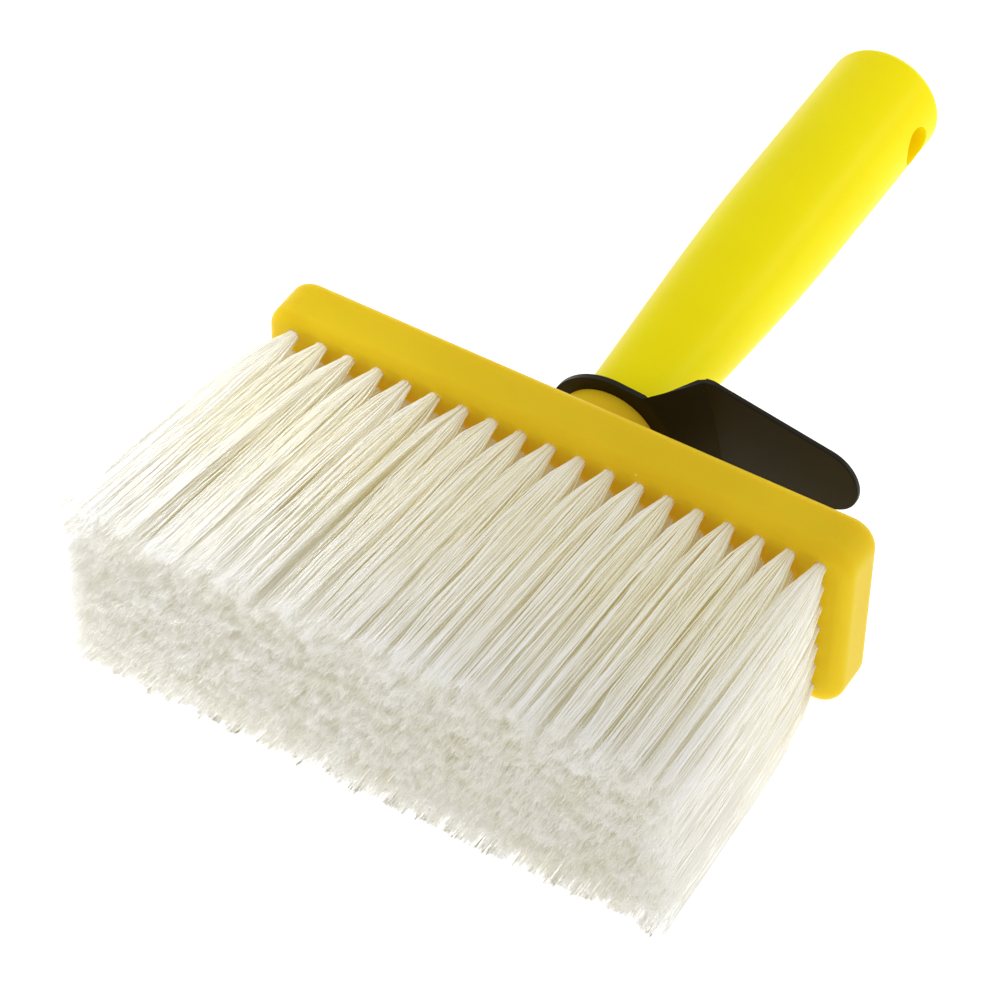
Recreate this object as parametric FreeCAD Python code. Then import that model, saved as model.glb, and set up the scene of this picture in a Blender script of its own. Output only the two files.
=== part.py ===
import FreeCAD, Part
import math
import os

from FreeCAD import Vector

# A rectangular block brush lying on its broad side. Lengths are in millimetres.
# While it is built, y = 0 is the bristle face, +Y runs along the handle and z = 0 is the handle's
# axis. TO_ROW_FRAME then moves the finished pieces to the centre of the footprint.

# Moulded block
BLOCK_LENGTH = 140.0
BLOCK_WIDTH = 46.0
BLOCK_THICKNESS = 13.0
CORNER_RADIUS = 6.0
EDGE_RADIUS = 3.0

# Boss on the block's back, with the socket that the handle's stud is screwed into
BOSS_RADIUS = 12.0
BOSS_END = 25.5
BOSS_ROOT_RADIUS = 2.5
SOCKET_BOTTOM = 11.0

# Tufts, each folded over a flat wire anchor at the bottom of its own blind hole
COLUMNS = 19
ROWS = 7
COLUMN_PITCH = 7.0
ROW_PITCH = 6.0
HOLE_RADIUS = 1.45
HOLE_DEPTH = 9.0
TUFT_ROOT_RADIUS = 1.35
TUFT_ROOT_DEPTH = 8.8
BRISTLE_LENGTH = 70.0
SPREAD_LENGTH = 24.0
TUFT_GAP = 0.2
ANCHOR_LENGTH = 2.8
ANCHOR_HEIGHT = 1.6
ANCHOR_THICKNESS = 0.4
ANCHOR_DEPTH = 7.0

# Handle
STUD_RADIUS = 7.5
STUD_CLEARANCE = 0.05
STUD_END = 11.5
JOURNAL_RADIUS = 8.42
NECK_RADIUS = 10.2
WAIST_RADIUS = 12.25
WAIST_AT = 65.0
GRIP_RADIUS = 13.7
GRIP_AT = 105.0
END_RADIUS = 13.85
HANDLE_END = 153.5
END_ROUNDING = 3.0
NECK_ROUNDING = 0.6
CORE_RADIUS = 4.8
CORE_END = 128.0
HANG_HOLE_RADIUS = 4.75
HANG_HOLE_FROM_END = 12.5
HANG_HOLE_ROUNDING = 0.8

# Bucket hook: a flat collar round the journal, a web that steps back from it, and a tapering tongue.
# It is built pointing along +X and then turned up to its resting angle.
HOOK_THICKNESS = 1.3
WEB_THICKNESS = 1.5
WEB_INTO_TONGUE = 1.04
HOOK_CLEARANCE = 0.08
HOOK_FLOAT = 0.1
HOOK_TURN = 12.0
COLLAR_RADIUS = 15.0
WEB_RADIUS = 16.2
WEB_HALF_ANGLE = 51.0
BEND_RADIUS = 3.0
CREASE_RADIUS = 0.5
FOLD_X = 23.7
FOLD_Y = 31.0
FOLD_HALF_WIDTH = 16.4
TONGUE_TIP_X = 58.5
TONGUE_SLOPE = 4.9
TONGUE_END_RADIUS = 8.0
HOOK_EDGE_ROUNDING = 0.3

NECK_START = BOSS_END + HOOK_THICKNESS + 2 * HOOK_FLOAT
OVERALL_LENGTH = BRISTLE_LENGTH + HANDLE_END
TO_ROW_FRAME = Vector(0, BRISTLE_LENGTH - OVERALL_LENGTH / 2, BLOCK_WIDTH / 2)
ALONG = Vector(0, 1, 0)
ACROSS = Vector(1, 0, 0)


def tuft_places(columns_pitch, rows_pitch):
    """Rows from top to bottom, each a list of (x, z) centres on a square grid."""
    rows = []
    for row in range(ROWS):
        z = ((ROWS - 1) / 2 - row) * rows_pitch
        rows.append([((column - (COLUMNS - 1) / 2) * columns_pitch, z) for column in range(COLUMNS)])
    return rows


def rod(radius, start, end, x=0.0, z=0.0):
    """A round bar along Y."""
    return Part.makeCylinder(radius, end - start, Vector(x, start, z), ALONG)


def edges_where(shape, wanted):
    return [edge for edge in shape.Edges if wanted(edge)]


def make_block():
    half_length, half_width = BLOCK_LENGTH / 2, BLOCK_WIDTH / 2
    slab = Part.makeBox(
        BLOCK_LENGTH, BLOCK_THICKNESS, BLOCK_WIDTH, Vector(-half_length, 0, -half_width)
    )
    corners = edges_where(slab, lambda e: abs(e.tangentAt(e.FirstParameter).y) > 0.99)
    slab = slab.makeFillet(CORNER_RADIUS, corners)
    rims = edges_where(slab, lambda e: abs(e.tangentAt(e.FirstParameter).y) < 0.01)
    slab = slab.makeFillet(EDGE_RADIUS, rims)
    block = slab.fuse(rod(BOSS_RADIUS, BLOCK_THICKNESS / 2, BOSS_END)).removeSplitter()

    def is_boss_root(edge):
        box = edge.BoundBox
        return (
            abs(box.YMin - BLOCK_THICKNESS) < 0.01
            and box.YLength < 0.01
            and abs(box.XLength - 2 * BOSS_RADIUS) < 0.01
        )

    block = block.makeFillet(BOSS_ROOT_RADIUS, edges_where(block, is_boss_root))
    block = block.cut(rod(STUD_RADIUS + STUD_CLEARANCE, SOCKET_BOTTOM, BOSS_END + 1))
    holes = [
        rod(HOLE_RADIUS, -1, HOLE_DEPTH, x, z)
        for row in tuft_places(COLUMN_PITCH, ROW_PITCH)
        for x, z in row
    ]
    return block.cut(Part.makeCompound(holes))


def tuft_section(y, x, z, half_x, half_z, squareness):
    """A closed outline at height y: an ellipse at squareness 2, and squarer above that."""
    points = []
    for step in range(24):
        angle = 2 * math.pi * step / 24
        c, s = math.cos(angle), math.sin(angle)
        px = math.copysign(abs(c) ** (2 / squareness), c) * half_x
        pz = math.copysign(abs(s) ** (2 / squareness), s) * half_z
        points.append(Vector(x + px, y, z + pz))
    curve = Part.BSplineCurve()
    curve.interpolate(points, PeriodicFlag=True)
    return Part.Wire([curve.toShape()])


def make_anchor(x, z):
    corner = Vector(x - ANCHOR_LENGTH / 2, ANCHOR_DEPTH - ANCHOR_HEIGHT / 2, z - ANCHOR_THICKNESS / 2)
    return Part.makeBox(ANCHOR_LENGTH, ANCHOR_HEIGHT, ANCHOR_THICKNESS, corner)


def make_tuft(x, z, tip_x, tip_z):
    """One tuft as a plain solid: round in its hole, spreading, then filling its share of the tip."""
    tip_half_x = BLOCK_LENGTH / COLUMNS / 2 - TUFT_GAP / 2
    tip_half_z = BLOCK_WIDTH / ROWS / 2 - TUFT_GAP / 2
    spread_half_x = COLUMN_PITCH / 2 - TUFT_GAP / 2
    spread_half_z = ROW_PITCH / 2 - TUFT_GAP / 2
    share = SPREAD_LENGTH / BRISTLE_LENGTH
    sections = [
        tuft_section(TUFT_ROOT_DEPTH, x, z, TUFT_ROOT_RADIUS, TUFT_ROOT_RADIUS, 2),
        tuft_section(0, x, z, TUFT_ROOT_RADIUS, TUFT_ROOT_RADIUS, 2),
        tuft_section(
            -SPREAD_LENGTH,
            x + (tip_x - x) * share,
            z + (tip_z - z) * share,
            spread_half_x,
            spread_half_z,
            3,
        ),
        tuft_section(-BRISTLE_LENGTH, tip_x, tip_z, tip_half_x, tip_half_z, 4),
    ]
    return Part.makeLoft(sections, True, True).cut(make_anchor(x, z))


def make_tuft_rows():
    """A list of (tufts, anchors) for each row, from top to bottom."""
    roots = tuft_places(COLUMN_PITCH, ROW_PITCH)
    tips = tuft_places(BLOCK_LENGTH / COLUMNS, BLOCK_WIDTH / ROWS)
    rows = []
    for root_row, tip_row in zip(roots, tips):
        tufts = [make_tuft(*root, *tip) for root, tip in zip(root_row, tip_row)]
        anchors = [make_anchor(x, z) for x, z in root_row]
        rows.append((Part.makeCompound(tufts), Part.makeCompound(anchors)))
    return rows


def make_handle():
    """One moulding turned about Y: stud, journal for the hook, tapering barrel and a core bore."""
    barrel = Part.BSplineCurve()
    barrel.interpolate(
        [
            Vector(NECK_RADIUS, NECK_START + NECK_ROUNDING, 0),
            Vector(WAIST_RADIUS, WAIST_AT, 0),
            Vector(GRIP_RADIUS, GRIP_AT, 0),
        ],
        InitialTangent=Vector(0.045, 1, 0),
        FinalTangent=Vector(0.003, 1, 0),
    )
    outline = [
        Vector(NECK_RADIUS - NECK_ROUNDING, NECK_START, 0),
        Vector(JOURNAL_RADIUS, NECK_START, 0),
        Vector(JOURNAL_RADIUS, BOSS_END, 0),
        Vector(STUD_RADIUS, BOSS_END, 0),
        Vector(STUD_RADIUS, STUD_END, 0),
        Vector(CORE_RADIUS, STUD_END, 0),
        Vector(CORE_RADIUS, CORE_END, 0),
        Vector(0, CORE_END, 0),
        Vector(0, HANDLE_END, 0),
        Vector(END_RADIUS - END_ROUNDING, HANDLE_END, 0),
    ]
    edges = [Part.makeLine(a, b) for a, b in zip(outline, outline[1:])]
    diagonal = math.sqrt(0.5)
    edges.append(
        Part.Arc(
            outline[-1],
            Vector(
                END_RADIUS - END_ROUNDING * (1 - diagonal),
                HANDLE_END - END_ROUNDING * (1 - diagonal),
                0,
            ),
            Vector(END_RADIUS, HANDLE_END - END_ROUNDING, 0),
        ).toShape()
    )
    edges.append(
        Part.makeLine(Vector(END_RADIUS, HANDLE_END - END_ROUNDING, 0), Vector(GRIP_RADIUS, GRIP_AT, 0))
    )
    edges.append(barrel.toShape())
    edges.append(
        Part.Arc(
            Vector(NECK_RADIUS, NECK_START + NECK_ROUNDING, 0),
            Vector(
                NECK_RADIUS - NECK_ROUNDING * (1 - diagonal),
                NECK_START + NECK_ROUNDING * (1 - diagonal),
                0,
            ),
            outline[0],
        ).toShape()
    )
    profile = Part.Face(Part.Wire(Part.__sortEdges__(edges)))
    handle = profile.revolve(Vector(0, 0, 0), ALONG, 360)
    hole_y = HANDLE_END - HANG_HOLE_FROM_END
    reach = 2 * END_RADIUS
    hole = Part.makeCylinder(HANG_HOLE_RADIUS, 2 * reach, Vector(-reach, hole_y, 0), ACROSS)
    handle = handle.cut(hole)

    def is_hole_rim(edge):
        box = edge.BoundBox
        return (
            abs(box.YLength - 2 * HANG_HOLE_RADIUS) < 0.1
            and abs(box.ZLength - 2 * HANG_HOLE_RADIUS) < 0.1
            and box.XLength < HANG_HOLE_RADIUS
        )

    return handle.makeFillet(HANG_HOLE_ROUNDING, edges_where(handle, is_hole_rim))


def plate_point(radius, degrees):
    """A point in the XZ plane, at an angle from +X towards +Z."""
    return Vector(
        radius * math.cos(math.radians(degrees)), 0, radius * math.sin(math.radians(degrees))
    )


def at_height(point, y):
    return Vector(point.x, y, point.z)


def hook_collar(front):
    """The flat plate round the journal: a round rim with straight flanks out to the web's corners."""
    flank = WEB_HALF_ANGLE + math.degrees(math.acos(COLLAR_RADIUS / WEB_RADIUS))
    top, bottom = plate_point(COLLAR_RADIUS, flank), plate_point(COLLAR_RADIUS, -flank)
    corner_top = plate_point(WEB_RADIUS, WEB_HALF_ANGLE)
    corner_bottom = plate_point(WEB_RADIUS, -WEB_HALF_ANGLE)
    outline = Part.Wire(
        [
            Part.Arc(bottom, plate_point(COLLAR_RADIUS, 180), top).toShape(),
            Part.makeLine(top, corner_top),
            Part.Arc(corner_top, plate_point(WEB_RADIUS, 0), corner_bottom).toShape(),
            Part.makeLine(corner_bottom, bottom),
        ]
    )
    collar = Part.Face(outline).extrude(ALONG * HOOK_THICKNESS)
    collar.translate(ALONG * front)
    return collar


def hook_web(front, fold_end, run, cut_thickness):
    """From an arc in the collar's front plane to a straight line inside the tongue."""
    inner, outer = (
        [at_height(plate_point(radius, angle), front) for angle in (WEB_HALF_ANGLE, 0, -WEB_HALF_ANGLE)]
        for radius in (WEB_RADIUS - cut_thickness, WEB_RADIUS)
    )
    root = Part.Wire(
        [
            Part.Arc(*reversed(inner)).toShape(),
            Part.makeLine(inner[0], outer[0]),
            Part.Arc(*outer).toShape(),
            Part.makeLine(outer[2], inner[2]),
        ]
    )
    widening = (FOLD_HALF_WIDTH - outer[0].z) / (FOLD_Y - front)
    half_width = FOLD_HALF_WIDTH + (fold_end - FOLD_Y) * widening
    outer_x = FOLD_X + (fold_end - FOLD_Y) * run
    fold = [
        Vector(outer_x - cut_thickness, fold_end, -half_width),
        Vector(outer_x - cut_thickness, fold_end, half_width),
        Vector(outer_x, fold_end, half_width),
        Vector(outer_x, fold_end, -half_width),
    ]
    web = Part.makeLoft([root, Part.makePolygon(fold + fold[:1])], True, True)
    slab = Part.makeBox(
        2 * FOLD_X, 2 * FOLD_Y, 2 * FOLD_HALF_WIDTH, Vector(-FOLD_X / 2, 0, -FOLD_HALF_WIDTH)
    )
    return web.common(slab)


def tongue_outline(start_x, taper_x):
    """The tongue seen along Y: parallel to taper_x, then tapering to a round end."""
    centre_x = TONGUE_TIP_X - TONGUE_END_RADIUS
    run = centre_x - taper_x
    reach = math.hypot(run, FOLD_HALF_WIDTH)
    lean = math.atan2(FOLD_HALF_WIDTH, run) - math.asin(TONGUE_END_RADIUS / reach)
    touch_x = centre_x + TONGUE_END_RADIUS * math.sin(lean)
    touch_z = TONGUE_END_RADIUS * math.cos(lean)
    corners = [
        Vector(touch_x, 0, -touch_z),
        Vector(taper_x, 0, -FOLD_HALF_WIDTH),
        Vector(start_x, 0, -FOLD_HALF_WIDTH),
        Vector(start_x, 0, FOLD_HALF_WIDTH),
        Vector(taper_x, 0, FOLD_HALF_WIDTH),
        Vector(touch_x, 0, touch_z),
    ]
    edges = [Part.makeLine(a, b) for a, b in zip(corners, corners[1:])]
    edges.append(Part.Arc(corners[-1], Vector(TONGUE_TIP_X, 0, 0), corners[0]).toShape())
    return Part.Face(Part.Wire(edges))


def hook_tongue(start_x, taper_x):
    """A flat bar that slopes towards the block, cut to its outline."""
    slope = math.radians(TONGUE_SLOPE)
    depth = HOOK_THICKNESS / math.cos(slope)
    start_y = FOLD_Y + (FOLD_X - start_x) * math.tan(slope)
    tip_y = FOLD_Y - (TONGUE_TIP_X - FOLD_X) * math.tan(slope)
    side = [
        Vector(start_x, start_y, -FOLD_HALF_WIDTH),
        Vector(TONGUE_TIP_X, tip_y, -FOLD_HALF_WIDTH),
        Vector(TONGUE_TIP_X, tip_y + depth, -FOLD_HALF_WIDTH),
        Vector(start_x, start_y + depth, -FOLD_HALF_WIDTH),
    ]
    bar = Part.Face(Part.makePolygon(side + side[:1])).extrude(Vector(0, 0, 2 * FOLD_HALF_WIDTH))
    return bar.common(tongue_outline(start_x, taper_x).extrude(ALONG * 2 * FOLD_Y))


def round_hook(hook, front):
    """Softens the tongue's outline, the bend at the collar and the crease at the tongue."""

    def is_tongue_outline(edge):
        box = edge.BoundBox
        return box.XMin > FOLD_X + 1 and box.YLength > 0.1 and edge.Length > 5

    def is_bend(edge):
        box = edge.BoundBox
        in_front_plane = abs(box.YMin - front) < 0.001 and box.YLength < 0.001
        return in_front_plane and abs(box.XMax - WEB_RADIUS) < 0.01 and box.ZLength > WEB_RADIUS

    def is_crease(edge):
        box = edge.BoundBox
        return abs(box.YMin - FOLD_Y) < 0.01 and box.ZLength > FOLD_HALF_WIDTH and box.XMax < FOLD_X + 0.01

    hook = hook.makeFillet(HOOK_EDGE_ROUNDING, edges_where(hook, is_tongue_outline))
    hook = hook.makeFillet(BEND_RADIUS, edges_where(hook, is_bend))
    return hook.makeFillet(CREASE_RADIUS, edges_where(hook, is_crease))


def make_hook():
    front = BOSS_END + HOOK_FLOAT
    back = front + HOOK_THICKNESS
    run = (FOLD_X - WEB_RADIUS) / (FOLD_Y - front)
    cut_thickness = WEB_THICKNESS * math.hypot(run, 1)
    fold_end = FOLD_Y + WEB_INTO_TONGUE
    outer_x = FOLD_X + (fold_end - FOLD_Y) * run
    web = hook_web(front, fold_end, run, cut_thickness)
    tongue = hook_tongue(outer_x - cut_thickness, outer_x)
    hook = hook_collar(front).fuse([web, tongue]).removeSplitter()
    hook = hook.cut(rod(JOURNAL_RADIUS + HOOK_CLEARANCE, front - 1, back + 1))
    hook = round_hook(hook, front)
    hook.rotate(Vector(0, 0, 0), ALONG, -HOOK_TURN)
    return hook


def export(name, shape):
    placed = shape.copy()
    placed.translate(TO_ROW_FRAME)
    if not placed.isValid():
        raise ValueError(f"{name} is not a valid shape")
    placed.exportStep(f"parts/{name}.step")
    print(name, len(placed.Solids), "solids", round(placed.Volume, 1), "mm3")


os.makedirs("parts", exist_ok=True)
export("brush_block", make_block())
export("handle", make_handle())
export("bucket_hook", make_hook())
for number, (tufts, anchors) in enumerate(make_tuft_rows(), start=1):
    export(f"tuft_row_{number}", tufts)
    export(f"anchor_row_{number}", anchors)
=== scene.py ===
"""The looks of the block brush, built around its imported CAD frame. Lengths are in metres."""

import math
from collections import namedtuple

import bpy
import numpy as np
from mathutils import Matrix, Vector


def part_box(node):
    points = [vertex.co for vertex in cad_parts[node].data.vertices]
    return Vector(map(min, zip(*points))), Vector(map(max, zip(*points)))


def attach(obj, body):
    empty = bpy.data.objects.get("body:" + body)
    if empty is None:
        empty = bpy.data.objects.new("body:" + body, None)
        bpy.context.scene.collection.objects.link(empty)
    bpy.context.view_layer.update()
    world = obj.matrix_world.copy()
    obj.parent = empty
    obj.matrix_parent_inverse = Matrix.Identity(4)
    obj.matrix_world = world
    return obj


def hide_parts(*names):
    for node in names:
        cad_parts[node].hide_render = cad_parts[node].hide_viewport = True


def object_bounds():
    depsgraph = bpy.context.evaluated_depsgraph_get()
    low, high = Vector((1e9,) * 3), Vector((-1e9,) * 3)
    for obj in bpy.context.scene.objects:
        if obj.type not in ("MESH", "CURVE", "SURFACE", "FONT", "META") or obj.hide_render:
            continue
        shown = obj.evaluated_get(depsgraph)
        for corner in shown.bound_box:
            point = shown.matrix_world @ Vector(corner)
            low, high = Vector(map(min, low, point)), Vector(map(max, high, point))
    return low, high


MM = 0.001
SEED = 12

# Tufts: where they leave the block and how far they spread by their tips
ROWS = 7
COLUMNS = 19
ANCHOR_LENGTH = 2.8 * MM
ROOT_RADIUS = 1.12 * MM
ROOT_DEPTH = 3.0 * MM
SPREAD_LENGTH = 11 * MM
TIP_SPREAD = 5.0 * MM
TIP_LEAN = -3.0 * MM
TIP_SPLAY = 1.015

# Locks of filaments that cling together, and the unevenness of the cut. The top row is the ragged one
RowStyle = namedtuple("RowStyle", "locks gather trim_noise lock_trim_noise flag_length")
TOP_ROW = RowStyle(
    locks=6, gather=0.58, trim_noise=1.1 * MM, lock_trim_noise=0.7 * MM, flag_length=3.6 * MM
)
OTHER_ROWS = RowStyle(
    locks=11, gather=0.22, trim_noise=0.45 * MM, lock_trim_noise=0.4 * MM, flag_length=2.4 * MM
)
TRIMMED_OFF = 0.8 * MM
LONGEST_OVERHANG = 0.9 * MM

# Filaments, as thin tubes with more rings where they are seen along their length. A tube has three
# sides, so each of its caps is one triangle
FILAMENTS = 130
SIDES = 3
ROOT_FILAMENT_RADIUS = 0.105 * MM
TIP_FILAMENT_RADIUS = 0.135 * MM
TIP_TAPER = 0.6
OUTER_RINGS = 8
INNER_RINGS = 6
RING_CROWDING = 1.5
STRAY = 0.35 * MM
FLYAWAY_STRAY = 2.2 * MM
FLYAWAY_SHARE = 0.06
END_FLYAWAY_SHARE = 0.15
SHORTEST_SWAY = 22 * MM
LONGEST_SWAY = 48 * MM
SWAY_SHAPE = 2.0
SWAY_SIZE = 0.10 * MM
SWAY_FADE = 18 * MM
FLOOR_CLEARANCE = 0.02 * MM

# Flags, the split ends of a filament
FLAGS = 4
FLAG_RADIUS = 0.045 * MM
FLAG_TAPER = 0.5
FLAG_LEAN = 0.42
FLAG_OVERLAP = 0.85
SHORTEST_FLAG = 0.4

# Paleness of a filament, from 0 for warm to 1 for white. Inner tufts are held warm as painted shade in
# the depth of the pack, and end tufts kept pale as painted light on the lit ends
PAINTED_SHADE_PALEST_INSIDE = 0.5
PAINTED_LIGHT_AT_ENDS = 0.65

# Camera, as a direction to look from, a point to look at and a distance
VIEW_AZIMUTH = 30.283
VIEW_ELEVATION = 46.577
VIEW_ROLL = 1.10
VIEW_DISTANCE = 910.8 * MM
VIEW_TARGET = Vector((-10.59, -45.61, 24.49)) * MM
SENSOR = 36.0
LENS = 158.22
NEAREST_SEEN = 10 * MM

# Studio
FLOOR_HALF_WIDTH = 3.0
WORLD_STRENGTH = 0.75
LIGHT_BOUNCES = 20
DIFFUSE_BOUNCES = 18

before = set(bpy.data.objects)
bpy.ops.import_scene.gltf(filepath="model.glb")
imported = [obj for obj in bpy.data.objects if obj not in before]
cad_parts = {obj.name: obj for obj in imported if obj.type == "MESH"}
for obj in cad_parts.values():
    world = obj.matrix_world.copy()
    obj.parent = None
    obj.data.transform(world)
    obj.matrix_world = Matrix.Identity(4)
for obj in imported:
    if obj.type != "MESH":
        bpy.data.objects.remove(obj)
cad_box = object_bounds()
block_low, block_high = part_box("brush_block")
tip_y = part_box("tuft_row_1")[0].y
face_y = block_low.y
floor_z = cad_box[0].z


# ---------------------------------------------------------------- materials


def new_material(name):
    """An empty node material with its output: (material, nodes, links, output)."""
    material = bpy.data.materials.new(name)
    material.use_nodes = True
    nodes, links = material.node_tree.nodes, material.node_tree.links
    nodes.clear()
    output = nodes.new("ShaderNodeOutputMaterial")
    return material, nodes, links, output


def noise(nodes, links, scale, detail=2.0, roughness=0.5):
    """A noise texture, with its scale in features per metre. Returns its factor socket."""
    coordinates = nodes.new("ShaderNodeTexCoord")
    texture = nodes.new("ShaderNodeTexNoise")
    texture.inputs["Scale"].default_value = scale
    texture.inputs["Detail"].default_value = detail
    texture.inputs["Roughness"].default_value = roughness
    links.new(coordinates.outputs["Object"], texture.inputs["Vector"])
    return texture.outputs["Fac"]


def ramp(nodes, links, factor, low, high, start=0.3, end=0.7):
    """Runs a factor through a two-colour ramp. Returns the colour socket."""
    node = nodes.new("ShaderNodeValToRGB")
    node.color_ramp.elements[0].position = start
    node.color_ramp.elements[0].color = (*low, 1)
    node.color_ramp.elements[1].position = end
    node.color_ramp.elements[1].color = (*high, 1)
    links.new(factor, node.inputs["Fac"])
    return node.outputs["Color"]


def spread_value(nodes, links, factor, low, high):
    """Maps a factor from 0..1 to low..high."""
    node = nodes.new("ShaderNodeMapRange")
    node.inputs["To Min"].default_value = low
    node.inputs["To Max"].default_value = high
    links.new(factor, node.inputs["Value"])
    return node.outputs["Result"]


def add_bump(nodes, links, height, strength, distance, normal=None):
    """Bump from a height, on top of an earlier bump if one is given. Returns the normal socket."""
    node = nodes.new("ShaderNodeBump")
    node.inputs["Strength"].default_value = strength
    node.inputs["Distance"].default_value = distance
    links.new(height, node.inputs["Height"])
    if normal is not None:
        links.new(normal, node.inputs["Normal"])
    return node.outputs["Normal"]


def specks(nodes, links):
    """A mask of tiny round specks, one near the middle of each Voronoi cell."""
    coordinates = nodes.new("ShaderNodeTexCoord")
    cells = nodes.new("ShaderNodeTexVoronoi")
    cells.inputs["Scale"].default_value = 150
    links.new(coordinates.outputs["Object"], cells.inputs["Vector"])
    strong, none = (0.7, 0.7, 0.7), (0, 0, 0)
    return ramp(nodes, links, cells.outputs["Distance"], strong, none, start=0.02, end=0.06)


def moulded_plastic(name, dark, light, speck, roughness, shine, subsurface=0.0, painted_glow=0.0):
    """Moulded plastic: slow mottling, tiny specks, fine roughness variation and a faint flow ripple,
    and an optional painted glow.
    """
    material, nodes, links, output = new_material(name)
    shader = nodes.new("ShaderNodeBsdfPrincipled")
    mottling = noise(nodes, links, scale=38, detail=3)
    speckled = nodes.new("ShaderNodeMix")
    speckled.data_type = "RGBA"
    links.new(specks(nodes, links), speckled.inputs["Factor"])
    links.new(ramp(nodes, links, mottling, dark, light), speckled.inputs["A"])
    speckled.inputs["B"].default_value = (*speck, 1)
    links.new(speckled.outputs["Result"], shader.inputs["Base Color"])
    grain = noise(nodes, links, scale=900, detail=3, roughness=0.6)
    rough = spread_value(nodes, links, grain, roughness * 0.86, roughness * 1.14)
    links.new(rough, shader.inputs["Roughness"])
    flow = noise(nodes, links, scale=110)
    ripple = add_bump(nodes, links, flow, strength=0.12, distance=0.3 * MM)
    fine = add_bump(nodes, links, grain, strength=0.10, distance=0.04 * MM, normal=ripple)
    links.new(fine, shader.inputs["Normal"])
    shader.inputs["Specular IOR Level"].default_value = shine
    shader.inputs["Subsurface Weight"].default_value = subsurface
    shader.inputs["Subsurface Radius"].default_value = (0.007, 0.0035, 0.001)
    shader.inputs["Subsurface Scale"].default_value = 1.0
    # Painted glow: a faint orange emission that lifts shaded plastic towards orange, standing in for
    # light carried through it; none unless painted_glow is set
    shader.inputs["Emission Color"].default_value = (1.0, 0.32, 0.03, 1)
    shader.inputs["Emission Strength"].default_value = painted_glow
    links.new(shader.outputs["BSDF"], output.inputs["Surface"])
    return material


def anchor_metal():
    """Drawn flat wire: bright metal with a fine uneven tone and gloss."""
    material, nodes, links, output = new_material("anchor_wire")
    shader = nodes.new("ShaderNodeBsdfPrincipled")
    unevenness = noise(nodes, links, scale=2500, detail=3)
    tone = ramp(nodes, links, unevenness, (0.42, 0.42, 0.43), (0.62, 0.62, 0.63))
    links.new(tone, shader.inputs["Base Color"])
    links.new(spread_value(nodes, links, unevenness, 0.25, 0.45), shader.inputs["Roughness"])
    shader.inputs["Metallic"].default_value = 1.0
    links.new(shader.outputs["BSDF"], output.inputs["Surface"])
    return material


def bristle_material():
    """Milky filament, varied from one to the next, and frosted white towards its tip."""
    material, nodes, links, output = new_material("bristle")
    along = nodes.new("ShaderNodeAttribute")
    along.attribute_name = "along"
    strand = nodes.new("ShaderNodeAttribute")
    strand.attribute_name = "strand"
    warm, white = (0.935, 0.91, 0.785), (0.968, 0.967, 0.957)
    body = ramp(nodes, links, strand.outputs["Fac"], warm, white, start=0.4, end=1.0)
    cream, frost = (0.91, 0.903, 0.875), (0.935, 0.935, 0.935)
    patches = ramp(nodes, links, noise(nodes, links, scale=90), cream, frost, start=0.35, end=0.65)
    frosting = ramp(nodes, links, along.outputs["Fac"], (0, 0, 0), (1, 1, 1), start=0.55, end=1.0)
    mix = nodes.new("ShaderNodeMix")
    mix.data_type = "RGBA"
    links.new(frosting, mix.inputs["Factor"])
    links.new(body, mix.inputs["A"])
    links.new(patches, mix.inputs["B"])
    shader = nodes.new("ShaderNodeBsdfPrincipled")
    links.new(mix.outputs["Result"], shader.inputs["Base Color"])
    shader.inputs["Roughness"].default_value = 0.38
    shader.inputs["Specular IOR Level"].default_value = 0.5
    # Painted glow: a faint warm emission that lightens the shade deep in the bristle pack, standing in
    # for light carried through the filaments
    shader.inputs["Emission Color"].default_value = (1.0, 0.92, 0.55, 1)
    shader.inputs["Emission Strength"].default_value = 0.032
    links.new(shader.outputs["BSDF"], output.inputs["Surface"])
    return material


def floor_material():
    """Pale matt paper that glows enough to render as white."""
    material, nodes, links, output = new_material("floor")
    shader = nodes.new("ShaderNodeBsdfPrincipled")
    unevenness = noise(nodes, links, scale=3, detail=1)
    paper = ramp(nodes, links, unevenness, (0.60, 0.60, 0.60), (0.62, 0.62, 0.62))
    links.new(paper, shader.inputs["Base Color"])
    shader.inputs["Roughness"].default_value = 0.9
    shader.inputs["Specular IOR Level"].default_value = 0.1
    shader.inputs["Emission Color"].default_value = (1, 1, 1, 1)
    shader.inputs["Emission Strength"].default_value = 0.80
    links.new(shader.outputs["BSDF"], output.inputs["Surface"])
    return material


def set_material(node, material):
    """Gives a carried-over CAD node its finish."""
    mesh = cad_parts[node].data
    mesh.materials.clear()
    mesh.materials.append(material)


# ---------------------------------------------------------------- bristles


def smooth_rise(distance, total):
    """From 0 at the root to 1 at the tip, fastest near the root."""
    return (1 - np.exp(-distance / SPREAD_LENGTH)) / (1 - math.exp(-total / SPREAD_LENGTH))


def disc(random, count):
    """Points spread evenly over the unit disc."""
    angle = random.uniform(0, 2 * math.pi, count)
    radius = np.sqrt(random.uniform(0, 1, count))
    return np.stack([np.cos(angle), np.sin(angle)], 1) * radius[:, None]


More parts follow.
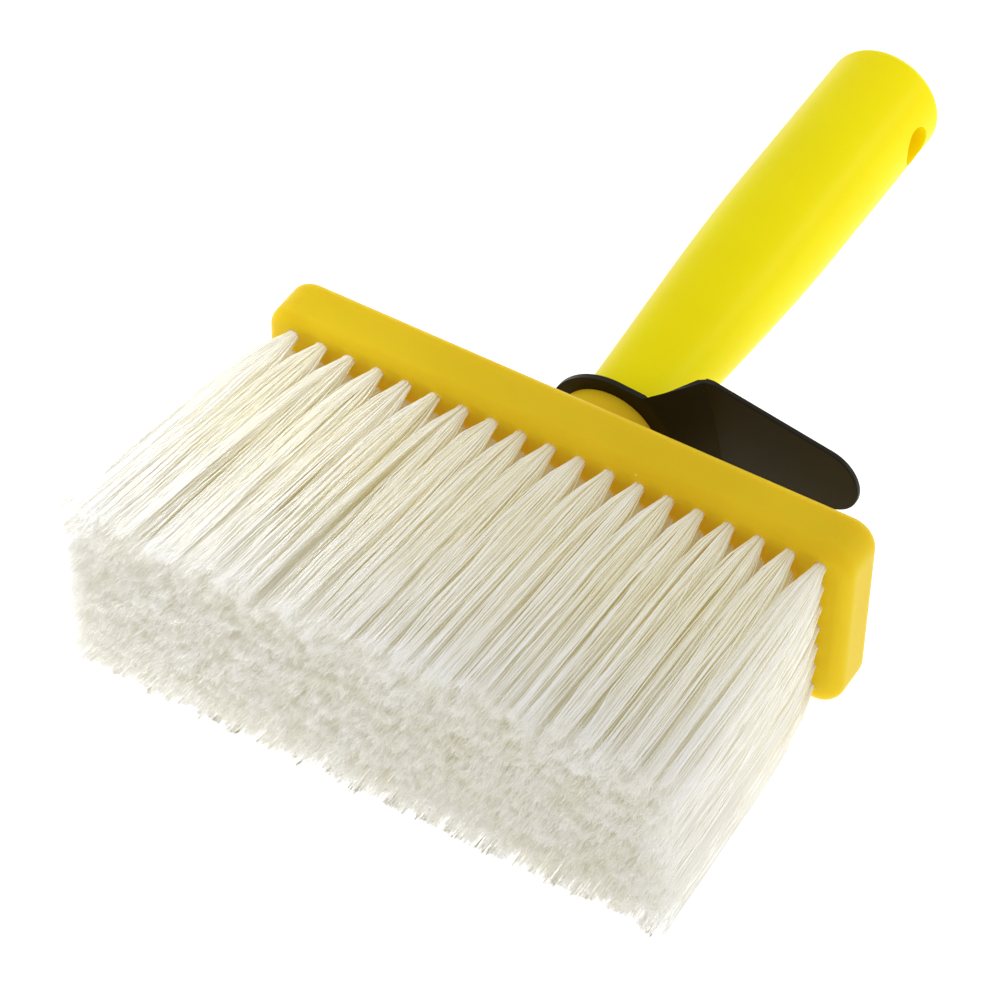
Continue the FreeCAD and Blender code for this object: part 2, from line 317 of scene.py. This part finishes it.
def tuft_paths(random, root, tip, rings, flyaway_share, style):
    """Filament centre lines of one tuft, gathered into locks: an array (filament, ring, xyz)."""
    unit = disc(random, FILAMENTS)
    lock_centres = disc(random, style.locks)
    nearest = np.argmin(np.linalg.norm(unit[:, None] - lock_centres[None], axis=2), axis=1)
    gathered = (1 - style.gather) * unit + style.gather * lock_centres[nearest]
    stray = random.normal(0, STRAY, (FILAMENTS, 2))
    flyaway = random.uniform(0, 1, FILAMENTS) < flyaway_share
    stray[flyaway] += random.normal(0, FLYAWAY_STRAY, (flyaway.sum(), 2))

    total = face_y - tip_y
    length = total + random.normal(0, style.trim_noise, FILAMENTS) - TRIMMED_OFF
    length += random.normal(0, style.lock_trim_noise, style.locks)[nearest]
    length = np.minimum(length, total + LONGEST_OVERHANG)
    share = np.linspace(0, 1, rings) ** RING_CROWDING
    distance = -ROOT_DEPTH + share[None] * (length[:, None] + ROOT_DEPTH)
    outside = np.clip(distance, 0, None)
    rise = smooth_rise(outside, total)
    sway_phase = random.uniform(0, 2 * math.pi, (FILAMENTS, 1, 2))
    sway_length = random.uniform(SHORTEST_SWAY, LONGEST_SWAY, (FILAMENTS, 1, 1))
    sway_size = random.gamma(SWAY_SHAPE, SWAY_SIZE, (FILAMENTS, 1, 1))
    fade = np.clip(outside / SWAY_FADE, 0, 1)[..., None]
    sway = np.sin(2 * math.pi * outside[..., None] / sway_length + sway_phase) * sway_size * fade

    progress = (outside / total)[..., None]
    centre = root + (tip - root) * progress
    spread = unit[:, None] + (gathered - unit)[:, None] * progress
    side = (
        centre
        + unit[:, None] * ROOT_RADIUS * (1 - rise)[..., None]
        + spread * TIP_SPREAD * rise[..., None]
        + stray[:, None] * progress
        + sway
    )
    return np.stack([side[..., 0], face_y - distance, side[..., 1]], 2)


def tip_flags(random, paths, longest):
    """Short split ends that leave each filament's tip at a small angle."""
    ends = np.repeat(paths[:, -1], FLAGS, axis=0)
    before = np.repeat(paths[:, -2], FLAGS, axis=0)
    direction = ends - before
    direction /= np.linalg.norm(direction, axis=1)[:, None]
    lean = random.normal(0, FLAG_LEAN, direction.shape)
    lean[:, 1] = 0
    length = longest * random.uniform(SHORTEST_FLAG, 1.0, len(ends))[:, None]
    start = ends - direction * length * FLAG_OVERLAP
    end = start + (direction + lean) * length
    return np.stack([start, end], 1)


def tube_arrays(paths, radii, phase):
    """Closed three-sided tubes round the paths: (vertices, quads, triangles)."""
    count, rings = paths.shape[:2]
    angle = phase[:, None] + np.arange(SIDES)[None] * 2 * math.pi / SIDES
    spoke = np.stack([np.cos(angle), np.zeros_like(angle), np.sin(angle)], 2)
    vertices = paths[:, :, None] + spoke[:, None] * radii[None, :, None, None]
    vertices = vertices.reshape(-1, 3)
    first = (np.arange(count) * rings * SIDES)[:, None]
    base = first[..., None] + (np.arange(rings - 1) * SIDES)[None, :, None]
    corner = np.arange(SIDES)[None, None]
    after = (corner + 1) % SIDES
    above = base + SIDES
    quads = np.stack([base + corner, base + after, above + after, above + corner], 3).reshape(-1, 4)
    root_caps = first + np.array([[2, 1, 0]])
    tip_caps = first + (rings - 1) * SIDES + np.array([[0, 1, 2]])
    return vertices, quads, np.concatenate([root_caps, tip_caps])


def tube_mesh(name, groups):
    """One mesh from groups of (paths, radii, phase, strand per filament, along per ring)."""
    all_vertices, all_faces, all_sizes, strand, along = [], [], [], [], []
    offset = 0
    for paths, radii, phase, strand_value, along_value in groups:
        vertices, quads, triangles = tube_arrays(paths, radii, phase)
        all_vertices.append(vertices)
        all_faces += [(quads + offset).reshape(-1), (triangles + offset).reshape(-1)]
        all_sizes += [np.full(len(quads), 4), np.full(len(triangles), 3)]
        strand.append(np.repeat(strand_value, paths.shape[1] * SIDES))
        along.append(np.tile(np.repeat(along_value, SIDES), len(paths)))
        offset += len(vertices)
    vertices = np.concatenate(all_vertices)
    vertices[:, 2] = np.maximum(vertices[:, 2], floor_z + FLOOR_CLEARANCE)
    loops = np.concatenate(all_faces)
    sizes = np.concatenate(all_sizes)
    mesh = bpy.data.meshes.new(name)
    mesh.vertices.add(len(vertices))
    mesh.vertices.foreach_set("co", vertices.astype(np.float32).ravel())
    mesh.loops.add(len(loops))
    mesh.loops.foreach_set("vertex_index", loops.astype(np.int32))
    mesh.polygons.add(len(sizes))
    starts = np.concatenate([[0], np.cumsum(sizes)[:-1]])
    mesh.polygons.foreach_set("loop_start", starts.astype(np.int32))
    mesh.update(calc_edges=True)
    for label, values in (("strand", strand), ("along", along)):
        layer = mesh.attributes.new(label, "FLOAT", "POINT")
        layer.data.foreach_set("value", np.concatenate(values).astype(np.float32))
    mesh.polygons.foreach_set("use_smooth", np.zeros(len(sizes), bool))
    return mesh


def add_bristle_row(number, root_z, material):
    """All the filaments of one row of tufts, in place of the row's plain CAD solids."""
    random = np.random.default_rng(SEED + number)
    low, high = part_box(f"anchor_row_{number}")
    columns = np.linspace(low.x + ANCHOR_LENGTH / 2, high.x - ANCHOR_LENGTH / 2, COLUMNS)
    middle_z = (block_low.z + block_high.z) / 2
    tip_pitch_x = (block_high.x - block_low.x) / COLUMNS
    row_tip_z = middle_z + ((ROWS + 1) / 2 - number) * (block_high.z - block_low.z) / ROWS
    style = TOP_ROW if number == 1 else OTHER_ROWS
    groups = []
    for column, root_x in enumerate(columns):
        at_end = column in (0, COLUMNS - 1)
        inside = number not in (1, ROWS) and not at_end
        rings = INNER_RINGS if inside else OUTER_RINGS
        root = np.array([root_x, root_z])
        tip_x = (column - (COLUMNS - 1) / 2) * tip_pitch_x * TIP_SPLAY + TIP_LEAN
        tip = np.array([tip_x, row_tip_z])
        flyaway_share = END_FLYAWAY_SHARE if column == 0 else FLYAWAY_SHARE
        paths = tuft_paths(random, root, tip, rings, flyaway_share, style)
        strand = random.uniform(0, 1, FILAMENTS)
        # Painted light and shade: end tufts get paler filaments, inner tufts warmer ones
        if at_end:
            strand = PAINTED_LIGHT_AT_ENDS + (1 - PAINTED_LIGHT_AT_ENDS) * strand
        elif inside:
            strand *= PAINTED_SHADE_PALEST_INSIDE
        radii = np.linspace(ROOT_FILAMENT_RADIUS, TIP_FILAMENT_RADIUS, rings)
        radii[-1] *= TIP_TAPER
        phase = random.uniform(0, 2 * math.pi, FILAMENTS)
        groups.append((paths, radii, phase, strand, np.linspace(0, 1, rings)))
        flags = tip_flags(random, paths, style.flag_length)
        flag_radii = np.array([FLAG_RADIUS, FLAG_RADIUS * FLAG_TAPER])
        flag_phase = random.uniform(0, 2 * math.pi, len(flags))
        groups.append((flags, flag_radii, flag_phase, np.repeat(strand, FLAGS), np.ones(2)))
    piece = bpy.data.objects.new(f"bristles_row_{number}", tube_mesh(f"bristles_{number}", groups))
    bpy.context.scene.collection.objects.link(piece)
    piece.data.materials.append(material)
    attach(piece, "brush")
    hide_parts(f"tuft_row_{number}")


# ---------------------------------------------------------------- stage


def add_floor():
    """A plain floor at the height that the brush lies on."""
    mesh = bpy.data.meshes.new("floor")
    half = FLOOR_HALF_WIDTH
    corners = [(-half, -half, 0), (half, -half, 0), (half, half, 0), (-half, half, 0)]
    mesh.from_pydata(corners, [], [(0, 1, 2, 3)])
    floor = bpy.data.objects.new("floor", mesh)
    floor.location.z = floor_z
    mesh.materials.append(floor_material())
    bpy.context.scene.collection.objects.link(floor)


def add_softbox(name, place, target, size, power, spread=180):
    """A rectangular area light facing its target, in metres, watts and degrees of spread."""
    light = bpy.data.lights.new(name, "AREA")
    light.shape = "RECTANGLE"
    light.size, light.size_y = size
    light.energy = power
    light.spread = math.radians(spread)
    lamp = bpy.data.objects.new(name, light)
    lamp.location = place
    lamp.rotation_euler = (Vector(target) - Vector(place)).to_track_quat("-Z", "Y").to_euler()
    lamp.visible_camera = False
    bpy.context.scene.collection.objects.link(lamp)


def set_world():
    """Even white light from all round."""
    world = bpy.data.worlds.new("studio")
    world.use_nodes = True
    background = world.node_tree.nodes["Background"]
    background.inputs["Color"].default_value = (1, 1, 1, 1)
    background.inputs["Strength"].default_value = WORLD_STRENGTH
    bpy.context.scene.world = world


def set_light_paths():
    """Enough bounces for light to find its way out of the bristle pack again."""
    cycles = bpy.context.scene.cycles
    cycles.max_bounces = LIGHT_BOUNCES
    cycles.diffuse_bounces = DIFFUSE_BOUNCES


def place_camera():
    """The photo's view: back points from the target to the camera."""
    azimuth = math.radians(VIEW_AZIMUTH)
    elevation = math.radians(VIEW_ELEVATION)
    roll = math.radians(VIEW_ROLL)
    right = Vector((math.cos(azimuth), math.sin(azimuth), 0))
    level_back = Vector((math.sin(azimuth), -math.cos(azimuth), 0))
    back = level_back * math.cos(elevation) + Vector((0, 0, math.sin(elevation)))
    up = back.cross(right)
    rolled_right = right * math.cos(roll) + up * math.sin(roll)
    rolled_up = up * math.cos(roll) - right * math.sin(roll)
    data = bpy.data.cameras.new("camera")
    data.sensor_width = SENSOR
    data.lens = LENS
    data.clip_start = NEAREST_SEEN
    camera = bpy.data.objects.new("camera", data)
    turn = Matrix((rolled_right, rolled_up, back)).transposed().to_4x4()
    camera.matrix_world = Matrix.Translation(VIEW_TARGET + back * VIEW_DISTANCE) @ turn
    bpy.context.scene.collection.objects.link(camera)
    bpy.context.scene.camera = camera


# ---------------------------------------------------------------- the scene

place_camera()
bpy.context.scene.view_settings.view_transform = "Standard"
set_light_paths()

# One yellow plastic in two copies: the block's darker, more orange colour is painted shade and the
# handle's lighter, more lemon colour is painted light. The block also gets an orange painted glow in
# its shade.
yellow_block_painted_shade = moulded_plastic(
    "yellow_block_painted_shade",
    dark=(0.57, 0.465, 0.008),
    light=(0.61, 0.505, 0.011),
    speck=(0.8, 0.7, 0.2),
    roughness=0.36,
    shine=0.05,
    subsurface=0.75,
    painted_glow=0.15,
)
yellow_handle_painted_light = moulded_plastic(
    "yellow_handle_painted_light",
    dark=(0.93, 0.785, 0.002),
    light=(0.97, 0.83, 0.003),
    speck=(0.97, 0.88, 0.05),
    roughness=0.34,
    shine=0.07,
    subsurface=0.5,
)
black = moulded_plastic(
    "black_hook",
    dark=(0.009, 0.007, 0.004),
    light=(0.013, 0.010, 0.006),
    speck=(0.03, 0.03, 0.03),
    roughness=0.42,
    shine=0.18,
)
set_material("brush_block", yellow_block_painted_shade)
set_material("handle", yellow_handle_painted_light)
set_material("bucket_hook", black)
wire = anchor_metal()
bristle = bristle_material()
for row in range(1, ROWS + 1):
    set_material(f"anchor_row_{row}", wire)
    anchor_low, anchor_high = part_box(f"anchor_row_{row}")
    add_bristle_row(row, (anchor_low.z + anchor_high.z) / 2, bristle)

add_floor()
set_world()
centre = (cad_box[0] + cad_box[1]) / 2
bristle_corner = (-0.09, -0.10, 0.03)
handle_middle = (0, 0.05, 0.03)
add_softbox("left_softbox", (-0.80, -0.10, 0.40), centre, size=(0.8, 0.8), power=0.6)
add_softbox("right_softbox", (0.80, 0.35, 0.35), centre, size=(0.8, 0.8), power=0.47)
add_softbox(
    "bristle_softbox", (-0.15, -0.13, 0.45), bristle_corner, size=(0.12, 0.12), power=0.033, spread=18
)
add_softbox("handle_softbox", (0.245, 0.26, 0.16), handle_middle, size=(0.16, 0.05), power=0.15)
